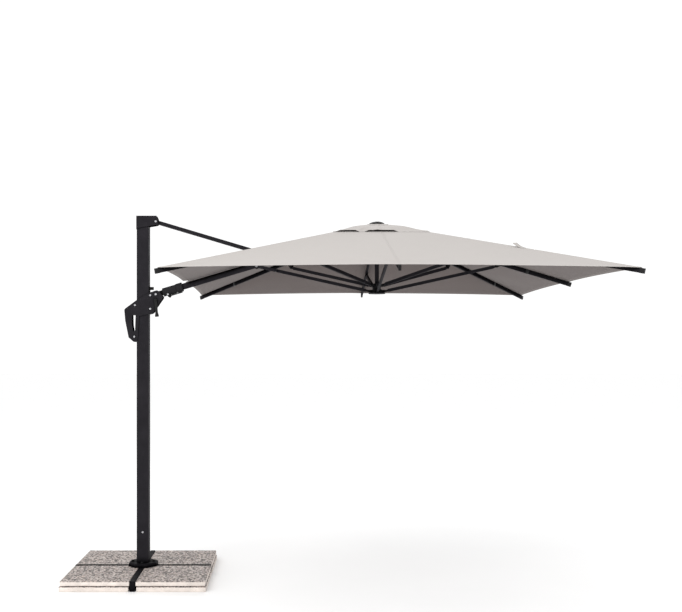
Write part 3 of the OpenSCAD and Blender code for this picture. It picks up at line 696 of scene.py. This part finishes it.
# Rings of the grids: close together at the vent's hole and in the hem, where the cloth's thickness changes
CANOPY_ROWS = [VENT_HOLE, VENT_HOLE + 1 * MM, VENT_HOLE + 20 * MM]
CANOPY_ROWS += spread(VENT_HOLE + 22 * MM, HALF - HEM_WIDTH - 1 * MM, 30)
CANOPY_ROWS += [HALF - HEM_WIDTH + 1 * MM]
CANOPY_ROWS += spread(HALF - HEM_WIDTH + 8 * MM, HALF - 3 * MM, 3)
CANOPY_ROWS += [HALF - 1 * MM, HALF]
VENT_ROWS = spread(VENT_INNER, VENT_HALF - HEM_WIDTH - 1 * MM, 14)
VENT_ROWS += [VENT_HALF - HEM_WIDTH + 1 * MM, VENT_HALF - 14 * MM, VENT_HALF - 1 * MM, VENT_HALF]

# The cloth's upper face, and its underside darkened with painted shade
CLOTH_SIDES = [CANOPY_TOP, CANOPY_UNDER_SHADED]


def canopy_wings():
    """The canopy: one wing on every rib, and the wings meet in the middle of the panels."""
    for spoke, name in enumerate(RIB_OF_SPOKE):
        if spoke == ARM_SPOKE:
            continue
        s, seam = columns_beside(spoke, CANOPY_ROWS)
        sheet = Sheet(canopy_surface, spoke, s, CANOPY_ROWS, HALF, seam)
        piece, area = sheet.build("canopy_wing_" + name, CLOTH_SIDES)
        declare_cloth(piece, "rib_" + name, "canopy_fabric")
        fold_with(piece)


def slit_half(h, slits):
    """The strut's opening at a ring, from the arm's line to its edge: long slots with round ends."""
    half = np.zeros_like(h)
    for near, far, widest in slits:
        end = np.clip(np.minimum(h - near, far - h) / SLIT_ROUND, 0, 1)
        half = np.maximum(half, widest * np.sqrt(1 - (1 - end) ** 2))
    return half


def arm_wing(sign, end, strip):
    """The part of the cloth over the arm that lies beyond the strip, on one side of it."""
    first = strip / np.array(CANOPY_ROWS)[:, None]
    s = sign * (first + (0.5 - first) * np.linspace(0, 1, 13))
    if sign < 0:
        s = s[:, ::-1]
    no_seam = np.ones_like(s)
    sheet = Sheet(canopy_surface, ARM_SPOKE, s, CANOPY_ROWS, HALF, no_seam)
    piece, area = sheet.build("canopy_wing_arm_" + end, CLOTH_SIDES)
    declare_cloth(piece, "arm", "canopy_fabric")
    fold_with(piece)


def arm_strip(sign, end, strip, slits):
    """The strip along one side of the arm, which keeps its width and has the strut's slits in it."""
    rows = set(CANOPY_ROWS)
    for near, far, _ in slits:
        for step in SLIT_STEPS:
            rows |= {near + step, far - step}
    rows = sorted(rows)
    rings = np.array(rows)[:, None]
    inner = slit_half(rings, slits)
    columns = np.array([0, 0.08, 0.3, 0.65, 1.0])
    t = inner + (strip - inner) * columns
    s = sign * t / rings
    from_slit = np.where(inner > 1e-6, t - inner, 1.0)
    if sign < 0:
        s, from_slit = s[:, ::-1], from_slit[:, ::-1]
    sheet = Sheet(canopy_surface, ARM_SPOKE, s, rows, HALF, from_slit)
    piece, area = sheet.build("canopy_strip_" + end, CLOTH_SIDES)
    declare_cloth(piece, "arm", "canopy_fabric")


def cloth_over_arm():
    for sign, end, strip, slits in STRIP_SIDES:
        arm_wing(sign, end, strip)
        arm_strip(sign, end, strip, slits)


def vent_wings():
    """The vent flap, in one wing on every rib and one on the arm."""
    for spoke, name in enumerate(RIB_OF_SPOKE):
        s, seam = columns_beside(spoke, VENT_ROWS, 11)
        sheet = Sheet(vent_surface, spoke, s, VENT_ROWS, VENT_HALF, seam)
        piece, area = sheet.build("vent_wing_" + (name or "arm"), CLOTH_SIDES)
        rib = "rib_" + name if name else "arm"
        declare_cloth(piece, rib, "vent_flap")
        fold_with(piece)


def crown_patch():
    """Round reinforcement under the crown cap. It stays on the hub and covers the wings' inner ends."""
    radii = [0.016, 0.040, 0.075, 0.100, CROWN_R - 2 * MM, CROWN_R]
    rings, around = len(radii), 64
    over_flap = (4.6 * MM, 3.2 * MM)
    thinned_rim = 1.2 * MM
    points = []
    for layer, up in enumerate(over_flap):
        for r in radii:
            raised = up - thinned_rim if r == CROWN_R and layer == 0 else up
            for j in range(around):
                side = round(4 * j / around)
                turn = 2 * math.pi * j / around - side * math.pi / 2
                points.append(vent_surface(2 * side, math.tan(turn), r * math.cos(turn), raised))

    def at(layer, i, j):
        return (layer * rings + i) * around + j % around

    faces, kinds = [], []
    last = rings - 1
    for j in range(around):
        for i in range(last):
            faces.append((at(0, i, j), at(0, i + 1, j), at(0, i + 1, j + 1), at(0, i, j + 1)))
            faces.append((at(1, i, j), at(1, i, j + 1), at(1, i + 1, j + 1), at(1, i + 1, j)))
            kinds += [0, 1]
        faces.append((at(0, last, j), at(1, last, j), at(1, last, j + 1), at(0, last, j + 1)))
        faces.append((at(0, 0, j), at(0, 0, j + 1), at(1, 0, j + 1), at(1, 0, j)))
        kinds += [0, 0]
    points = np.array(points)
    uv = np.stack([points[:, 0] - HUB_X, points[:, 1]], -1)
    from_rim = np.abs(CROWN_R - np.hypot(uv[:, 0], uv[:, 1]))
    distances = {"rib_dist": np.ones(len(points)), "hem_dist": from_rim * 2}
    piece = mesh_piece("crown_patch", points, faces, CLOTH_SIDES, kinds, uv, distances)
    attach(piece, "hub")


# ---- straps ----

# The webbing's thickness and width, its play round the rib, and how large its bends are
STRAP_T = 1.2 * MM
STRAP_W = 25 * MM
STRAP_PLAY = 0.8 * MM
STRAP_BEND = 4 * MM

# Where the two straps of a rib are, as shares of the way from the hub's axis to the hem
STRAP_SHARES = (0.78, 0.40)

# The rib's section, and its centre line's depth under the fabric's ridge line
RIB_W = 14 * MM
RIB_H = 32 * MM
RIB_GAP = 18.5 * MM


def rib_place(spoke, r, sideways, up):
    """World point at r along a rib's centre line, moved across the rib and up, square to its slope."""
    angle = math.radians(45 * spoke)
    top, fall = (CORNER_TOP_Z, CORNER_FALL) if spoke % 2 else (SIDE_TOP_Z, SIDE_FALL)
    slope = math.atan(fall)
    out = r + up * math.sin(slope)
    x = HUB_X + out * math.cos(angle) - sideways * math.sin(angle)
    y = out * math.sin(angle) + sideways * math.cos(angle)
    z = top - RIB_GAP - (r - PIN_R) * fall + up * math.cos(slope)
    return (x, y, z)


def strap(name, spoke, r, path):
    """A webbing strip across a rib at r, whose section follows a path of (sideways, up) points."""
    path = np.array(path)
    step = np.gradient(path, axis=0)
    out = np.stack([step[:, 1], -step[:, 0]], -1) / np.linalg.norm(step, axis=1, keepdims=True)
    outer = path + out * STRAP_T
    points, faces, count = [], [], len(path)
    for end in (-STRAP_W / 2, STRAP_W / 2):
        for side, up in np.concatenate([path, outer]):
            points.append(rib_place(spoke, r + end, side, up))
    for i in range(count - 1):
        a, b, c, d = i, i + 1, i + 1 + 2 * count, i + 2 * count
        faces += [(a, b, c, d), (d + count, c + count, b + count, a + count)]
        faces += [(b, a, a + count, b + count), (d, c, c + count, d + count)]
    faces += [(0, 2 * count, 3 * count, count), (count - 1, 2 * count - 1, 4 * count - 1, 3 * count - 1)]
    piece = mesh_piece(name, points, faces, [WEBBING])
    rib = "rib_" + RIB_OF_SPOKE[spoke]
    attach(piece, rib)


def rib_straps():
    """Webbing loops sewn to the canopy's seams, two to a rib, that hold the cloth on the ribs."""
    side = RIB_W / 2 + STRAP_PLAY
    low = -RIB_H / 2 - STRAP_PLAY
    high = RIB_GAP - 0.5 * MM
    bend = STRAP_BEND
    cut = 0.3 * bend
    right = [(side - bend, low), (side - cut, low + cut), (side, low + bend), (side, 0), (side, high)]
    loop = [(-x, up) for x, up in reversed(right)] + right
    for spoke, name in enumerate(RIB_OF_SPOKE):
        if name is None:
            continue
        for k, share in enumerate(STRAP_SHARES):
            strap(f"strap_{name}_{k}", spoke, HALF * spoke_reach(spoke) * share, loop)


def closing_tab():
    """The closing strap's free end on the front right ridge: a cloth tab that curls up, tape underneath."""
    spoke = RIB_OF_SPOKE.index("front_right")
    width, free, sewn = 40 * MM, 0.870, 0.920
    clear, curl = 2 * MM, 24 * MM

    def curled(spoke, s, h, raised=0.0):
        points = canopy_surface(spoke, s, h, raised)
        points[..., 2] += clear + curl * ((sewn - h) / (sewn - free)) ** 2
        return points

    rings = np.linspace(free, sewn, 12)
    s = np.linspace(-1, 1, 9) * width / 2 * spoke_reach(spoke) / rings[:, None]
    sheet = Sheet(curled, spoke, s, rings, HALF, np.ones_like(s))
    piece, area = sheet.build("closing_tab", [CANOPY_TOP, WEBBING])
    rib = "rib_" + RIB_OF_SPOKE[spoke]
    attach(piece, rib)


# ---- slabs ----

# The joint between the two layers: how deep it is, and how far the upper and the lower slabs' rims give way
JOINT_DEPTH = 30 * MM
UPPER_JOINT = 3 * MM
LOWER_JOINT = 2 * MM

# The lower slabs lie this much farther out than the upper ones
LOWER_STEP = 6 * MM

# Cells along, across and through a slab
SLAB_CELLS = (24, 24, 4)

# The edges' radius and how much it varies, and the top's roughness. A point this near a face counts as on it
WEAR = 3.5 * MM
WEAR_SPREAD = 1.5 * MM
PEBBLE_ROUGH = 0.35 * MM
FACE_DEPTH = 4 * MM


def hash_wave(points, seed):
    """Cheap smooth noise from -1 to 1, the same at each run."""
    x, y, z = points[:, 0], points[:, 1], points[:, 2]
    total = np.zeros(len(points))
    for k, rate in enumerate((23.0, 61.0, 137.0)):
        phase = seed * 1.7 + k * 2.3
        total += np.sin(rate * x + phase) * np.sin(rate * 1.13 * y - phase * 0.7 + rate * 0.6 * z) / (k + 1)
    return total / 1.8


def gridded_box(centre, half):
    """(points, faces, materials) of a closed box, with its cells closer together near the edges.

    The top and the uppermost row of the sides are pebbled, which is material 0. The rest is material 1.
    """
    points, faces, kinds, lookup = [], [], [], {}

    def corner(key):
        if key not in lookup:
            lookup[key] = len(points)
            spot = [math.sin(math.pi / 2 * (2 * v / n - 1)) for v, n in zip(key, SLAB_CELLS)]
            points.append(centre + half * np.array(spot))
        return lookup[key]

    for axis in range(3):
        u, v = (axis + 1) % 3, (axis + 2) % 3
        for end in (0, SLAB_CELLS[axis]):
            for a in range(SLAB_CELLS[u]):
                for b in range(SLAB_CELLS[v]):
                    quad = []
                    for da, db in ((0, 0), (1, 0), (1, 1), (0, 1)):
                        key = [0, 0, 0]
                        key[axis], key[u], key[v] = end, a + da, b + db
                        quad.append(corner(tuple(key)))
                    faces.append(tuple(quad if end else quad[::-1]))
                    layer = a if u == 2 else b
                    pebbled = end > 0 if axis == 2 else layer == SLAB_CELLS[2] - 1
                    kinds.append(0 if pebbled else 1)
    return np.array(points), faces, kinds


def slab_mesh(low, high, seed, joint_top, joint_bottom):
    """(points, faces, materials) of one slab: worn edges, a pebbled top and smooth sides.

    joint_top and joint_bottom say how far the rims of the top and of the underside give way at a joint.
    """
    low, high = np.array(low), np.array(high)
    centre, half = (low + high) / 2, (high - low) / 2
    points, faces, kinds = gridded_box(centre, half)

    # Edges worn round, by an amount that changes along them
    wear = (WEAR + WEAR_SPREAD * hash_wave(points * 3, seed))[:, None]
    inner = np.clip(points, low + wear, high - wear)
    out = points - inner
    length = np.linalg.norm(out, axis=1, keepdims=True)
    points = np.where(length > 1e-9, inner + out / np.maximum(length, 1e-9) * wear, points)

    on_top = points[:, 2] > high[2] - FACE_DEPTH
    points[:, 2] += PEBBLE_ROUGH * (hash_wave(points * 2, seed + 5) - 1) * on_top

    on_face = on_top | (points[:, 2] < low[2] + FACE_DEPTH)
    inward = np.min(half[:2] - np.abs(points[:, :2] - centre[:2]), axis=1)
    rim = smooth(1 - inward / JOINT_DEPTH) * (1 + 0.5 * hash_wave(points * 4, seed + 9))
    points[:, 2] += np.where(on_top, -joint_top, joint_bottom) * rim * on_face
    return points, faces, kinds


def slab_piece(name, node, boxes, joint_top, joint_bottom):
    """One piece with a slab in each box, in place of a CAD node."""
    all_points, all_faces, all_kinds, shift = [], [], [], 0
    for seed, (low, high) in enumerate(boxes):
        points, faces, kinds = slab_mesh(low, high, seed + len(name), joint_top, joint_bottom)
        all_points.append(points)
        all_faces += [tuple(v + shift for v in face) for face in faces]
        all_kinds += kinds
        shift += len(points)
    piece = mesh_piece(name, np.concatenate(all_points), all_faces, [PEBBLE, SLAB_SIDE], all_kinds)
    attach(piece, "mast")
    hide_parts(node)


def slabs():
    """The four upper slabs, each its own piece, and the four lower ones in one piece."""
    lower_low, lower_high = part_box("slabs_lower")
    lower_boxes = []
    for end in ("front_left", "front_right", "back_left", "back_right"):
        low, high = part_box("slab_" + end)
        slab_piece("slab_stone_" + end, "slab_" + end, [(low, high)], 0, UPPER_JOINT)
        x, y = math.copysign(LOWER_STEP, low.x), math.copysign(LOWER_STEP, low.y)
        lower_boxes.append(((low.x + x, low.y + y, lower_low.z), (high.x + x, high.y + y, lower_high.z)))
    slab_piece("slab_stones_lower", "slabs_lower", lower_boxes, LOWER_JOINT, 0)


# ---- stage ----


def floor():
    """A pale studio floor just under the ground."""
    pale = 0.92
    look = Look("studio_floor", (pale, pale, pale), 0.8)
    cloudy = look.between(look.noise(0.7, 4), 0.3, 0.7)
    shade = look.mix(cloudy, (0.915, 0.915, 0.915), (0.925, 0.925, 0.925))
    look.finish(shade, None, look.bump(look.noise(0.01, 3), 0.2 * MM))
    size, z = 60.0, -0.5 * MM
    mesh = bpy.data.meshes.new("floor")
    corners = [(-size, -size, z), (size, -size, z), (size, size, z), (-size, size, z)]
    mesh.from_pydata(corners, [], [(0, 1, 2, 3)])
    mesh.materials.append(look.material)
    ground = bpy.data.objects.new("floor", mesh)
    bpy.context.scene.collection.objects.link(ground)


def area_light(name, place, target, size, power, colour=(1, 1, 1)):
    """A round area light at a place, turned to a target."""
    data = bpy.data.lights.new(name, "AREA")
    data.shape = "DISK"
    data.size = size
    data.energy = power
    data.color = colour
    light = bpy.data.objects.new(name, data)
    light.location = place
    light.rotation_euler = (Vector(target) - Vector(place)).to_track_quat("-Z", "Y").to_euler()
    bpy.context.scene.collection.objects.link(light)


def studio():
    """A white world, with a key light from the front left and softer ones round the parasol."""
    scene = bpy.context.scene
    scene.view_settings.view_transform = "Standard"
    world = bpy.data.worlds.new("studio")
    scene.world = world
    world.use_nodes = True
    background = world.node_tree.nodes["Background"]
    background.inputs["Color"].default_value = (1.0, 1.0, 1.0, 1)
    background.inputs["Strength"].default_value = 1.08
    middle = (0.9, 0, 1.4)
    under_canopy = (1.0, 0.2, 2.2)
    area_light("key", (-3.2, -6.5, 6.5), middle, 4.0, 260, (1.0, 0.985, 0.965))
    area_light("fill", (6.5, -5.0, 3.5), middle, 4.0, 50, (0.97, 0.98, 1.0))
    area_light("rim", (1.0, 7.0, 6.0), middle, 4.0, 90)
    area_light("low", (-3.6, -4.2, 0.5), under_canopy, 2.5, 120)


def camera():
    """A level camera at a standing viewer's eye, framed by its shift instead of a tilt."""
    data = bpy.data.cameras.new("camera")
    data.lens = 49.54
    data.sensor_width = 36.0
    data.shift_x = 0.0779
    data.shift_y = 0.0634
    eye = bpy.data.objects.new("camera", data)
    eye.location = (1.1169, -7.2593, 1.7411)
    eye.rotation_euler = (math.pi / 2, 0, 0)
    bpy.context.scene.collection.objects.link(eye)
    bpy.context.scene.camera = eye


dress_cad_nodes()
dress_ribs()
canopy_wings()
cloth_over_arm()
vent_wings()
crown_patch()
rib_straps()
closing_tab()
slabs()
floor()
studio()
camera()
